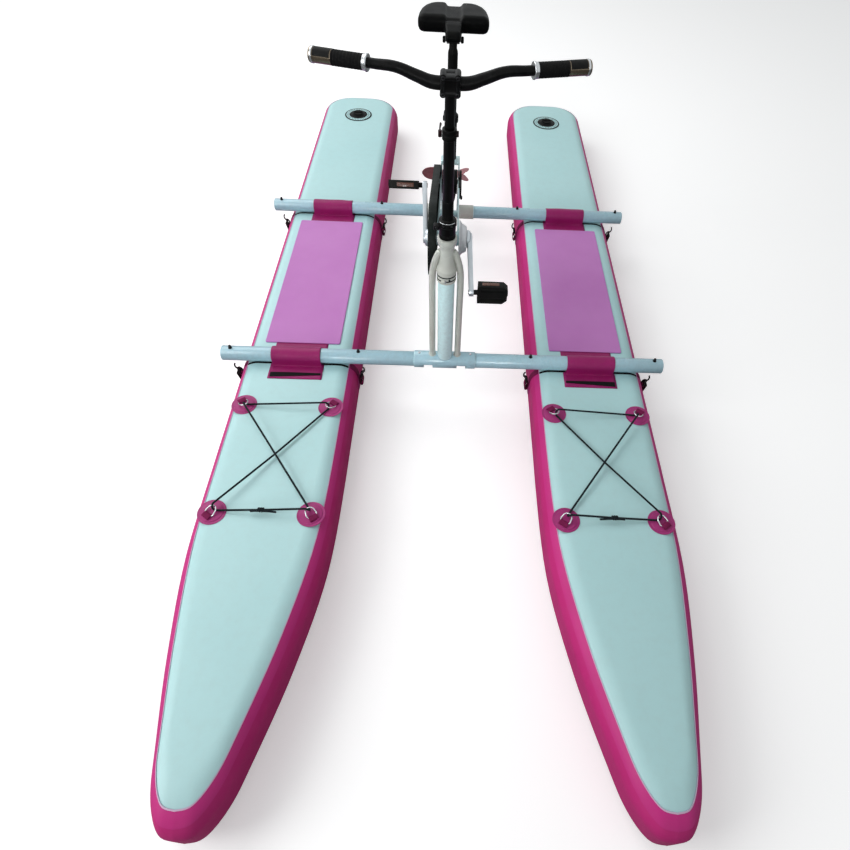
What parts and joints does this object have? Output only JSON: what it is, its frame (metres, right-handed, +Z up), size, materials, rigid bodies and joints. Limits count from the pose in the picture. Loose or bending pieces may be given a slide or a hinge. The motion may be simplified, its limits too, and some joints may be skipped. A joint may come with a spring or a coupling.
{
  "type": "pontoon water bike",
  "caption": "Pedal-driven water bike on inflatable pontoons, with a folding propeller leg that steers from the handlebar.",
  "frame": {"origin": "on the ground, under the middle of the two pontoons", "axes": "+X towards the rider's left, +Y towards the stern, +Z up"},
  "size_m": [1.5, 3.39, 1.149],
  "materials": {
    "deck_fabric": "matt coated fabric, white to pale cyan, dimpled",
    "wrap_fabric": "matt coated fabric, magenta",
    "pad_foam": "matt grooved foam, orchid purple",
    "frame_white": "glossy white powder coat",
    "frame_black": "satin black powder coat",
    "moulded_black": "matt moulded plastic, black",
    "soft_black": "matt soft rubber, black",
    "steel": "bright brushed",
    "silver": "satin silver",
    "blade_metal": "satin, warm bronze tone"
  },
  "bodies": {
    "platform": {"hull_port": "deck_fabric", "hull_starboard": "deck_fabric", "deck_pad_port": "pad_foam", "deck_pad_starboard": "pad_foam", "valve_port": "moulded_black", "valve_starboard": "moulded_black", "sleeve_rear_port": "wrap_fabric", "sleeve_rear_starboard": "wrap_fabric", "sleeve_front_port": "wrap_fabric", "sleeve_front_starboard": "wrap_fabric", "lash_patch_rear_outer_port": "wrap_fabric", "lash_patch_rear_inner_port": "wrap_fabric", "lash_patch_front_outer_port": "wrap_fabric", "lash_patch_front_inner_port": "wrap_fabric", "lash_patch_rear_outer_starboard": "wrap_fabric", "lash_patch_rear_inner_starboard": "wrap_fabric", "lash_patch_front_outer_starboard": "wrap_fabric", "lash_patch_front_inner_starboard": "wrap_fabric", "lash_cord_port": "soft_black", "lash_cord_starboard": "soft_black", "cross_tube_rear_port": "frame_white", "cross_tube_rear_starboard": "frame_white", "cross_tube_front_port": "frame_white", "cross_tube_front_starboard": "frame_white", "front_frame": "frame_white", "rear_frame": "frame_white", "chain": "steel", "chain_case": "moulded_black", "bearing_cover": "silver"},
    "steering": {"steering_collar": "frame_white", "stem_clamp": "frame_black", "stem_tube": "frame_black"},
    "bars": {"bar_post": "frame_black", "handlebar": "frame_black", "grip_port": "soft_black", "grip_starboard": "soft_black"},
    "stem_quick_lever": {"stem_lever": "moulded_black"},
    "crankset": {"crank_spindle": "steel", "crank_arm_port": "silver", "crank_arm_starboard": "silver", "chainring": "steel"},
    "left_pedal": {"pedal_port": "moulded_black"},
    "right_pedal": {"pedal_starboard": "moulded_black"},
    "drive_shaft": {"input_shaft": "steel"},
    "leg_hinge": {"leg_head": "frame_black"},
    "leg": {"drive_leg": "frame_black"},
    "screw": {"propeller": "blade_metal"},
    "seat": {"seat_post": "frame_black", "saddle": "soft_black"},
    "seat_quick_lever": {"seat_lever": "moulded_black"},
    "port_valve_cap": {"valve_cap_port": "moulded_black"},
    "starboard_valve_cap": {"valve_cap_starboard": "moulded_black"},
    "pin_rear_inner_port": {"button_rear_inner_port": "steel"},
    "pin_rear_outer_port": {"button_rear_outer_port": "steel"},
    "pin_rear_inner_starboard": {"button_rear_inner_starboard": "steel"},
    "pin_rear_outer_starboard": {"button_rear_outer_starboard": "steel"},
    "pin_front_inner_port": {"button_front_inner_port": "steel"},
    "pin_front_outer_port": {"button_front_outer_port": "steel"},
    "pin_front_inner_starboard": {"button_front_inner_starboard": "steel"},
    "pin_front_outer_starboard": {"button_front_outer_starboard": "steel"}
  },
  "joints": [
    {"name": "steering_turn", "type": "hinge", "parent": "platform", "child": "steering", "pos_m": [0, -0.35, 0.6], "axis": [0, 0, 1], "range_deg": [-45, 45]},
    {"name": "bar_height", "type": "slide", "parent": "steering", "child": "bars", "axis": [0, 0, 1], "range_m": [-0.06, 0.04]},
    {"name": "stem_lever_swing", "type": "hinge", "parent": "steering", "child": "stem_quick_lever", "pos_m": [-0.02285, -0.35, 0.987], "axis": [0, 0, 1], "range_deg": [0, 150]},
    {"name": "crank_turn", "type": "hinge", "parent": "platform", "child": "crankset", "pos_m": [0, -0.188, 0.58], "axis": [1, 0, 0], "continuous": true},
    {"name": "left_pedal_spin", "type": "hinge", "parent": "crankset", "child": "left_pedal", "pos_m": [0.13, -0.33217, 0.48991], "axis": [1, 0, 0], "continuous": true},
    {"name": "right_pedal_spin", "type": "hinge", "parent": "crankset", "child": "right_pedal", "pos_m": [-0.13, -0.04383, 0.67009], "axis": [1, 0, 0], "continuous": true},
    {"name": "drive_shaft_turn", "type": "hinge", "parent": "platform", "child": "drive_shaft", "pos_m": [0, 0.243, 0.52], "axis": [1, 0, 0], "continuous": true},
    {"name": "leg_lower", "type": "hinge", "parent": "platform", "child": "leg_hinge", "pos_m": [0, 0.243, 0.52], "axis": [1, 0, 0], "range_deg": [-57, 0]},
    {"name": "leg_steer", "type": "hinge", "parent": "leg_hinge", "child": "leg", "pos_m": [0, 0.5114, 0.3457], "axis": [0, 0.8387, -0.5446], "range_deg": [-45, 45]},
    {"name": "screw_turn", "type": "hinge", "parent": "leg", "child": "screw", "pos_m": [0, 0.77976, 0.17144], "axis": [0, 0.5446, 0.8387], "continuous": true},
    {"name": "seat_height", "type": "slide", "parent": "platform", "child": "seat", "axis": [0, 0, 1], "range_m": [-0.025, 0.06]},
    {"name": "seat_lever_swing", "type": "hinge", "parent": "platform", "child": "seat_quick_lever", "pos_m": [-0.02485, 0.293, 0.724], "axis": [0, 0, 1], "range_deg": [0, 150]},
    {"name": "port_cap_turn", "type": "hinge", "parent": "platform", "child": "port_valve_cap", "pos_m": [0.5, 1.451, 0.19], "axis": [0, 0, 1], "range_deg": [0, 90]},
    {"name": "starboard_cap_turn", "type": "hinge", "parent": "platform", "child": "starboard_valve_cap", "pos_m": [-0.5, 1.451, 0.19], "axis": [0, 0, 1], "range_deg": [0, 90]},
    {"name": "pin_press_rear_inner_port", "type": "slide", "parent": "platform", "child": "pin_rear_inner_port", "axis": [0, 0, -1], "range_m": [0, 0.008], "stiffness_N_per_m": 500, "springref_m": -0.002},
    {"name": "pin_press_rear_outer_port", "type": "slide", "parent": "platform", "child": "pin_rear_outer_port", "axis": [0, 0, -1], "range_m": [0, 0.008], "stiffness_N_per_m": 500, "springref_m": -0.002},
    {"name": "pin_press_rear_inner_starboard", "type": "slide", "parent": "platform", "child": "pin_rear_inner_starboard", "axis": [0, 0, -1], "range_m": [0, 0.008], "stiffness_N_per_m": 500, "springref_m": -0.002},
    {"name": "pin_press_rear_outer_starboard", "type": "slide", "parent": "platform", "child": "pin_rear_outer_starboard", "axis": [0, 0, -1], "range_m": [0, 0.008], "stiffness_N_per_m": 500, "springref_m": -0.002},
    {"name": "pin_press_front_inner_port", "type": "slide", "parent": "platform", "child": "pin_front_inner_port", "axis": [0, 0, -1], "range_m": [0, 0.008], "stiffness_N_per_m": 500, "springref_m": -0.002},
    {"name": "pin_press_front_outer_port", "type": "slide", "parent": "platform", "child": "pin_front_outer_port", "axis": [0, 0, -1], "range_m": [0, 0.008], "stiffness_N_per_m": 500, "springref_m": -0.002},
    {"name": "pin_press_front_inner_starboard", "type": "slide", "parent": "platform", "child": "pin_front_inner_starboard", "axis": [0, 0, -1], "range_m": [0, 0.008], "stiffness_N_per_m": 500, "springref_m": -0.002},
    {"name": "pin_press_front_outer_starboard", "type": "slide", "parent": "platform", "child": "pin_front_outer_starboard", "axis": [0, 0, -1], "range_m": [0, 0.008], "stiffness_N_per_m": 500, "springref_m": -0.002}
  ],
  "couplings": [
    {"joint": "drive_shaft_turn", "follows": "crank_turn", "ratio": 3.0323},
    {"joint": "screw_turn", "follows": "crank_turn", "ratio": 6.0645},
    {"joint": "leg_steer", "follows": "steering_turn", "ratio": 1}
  ]
}
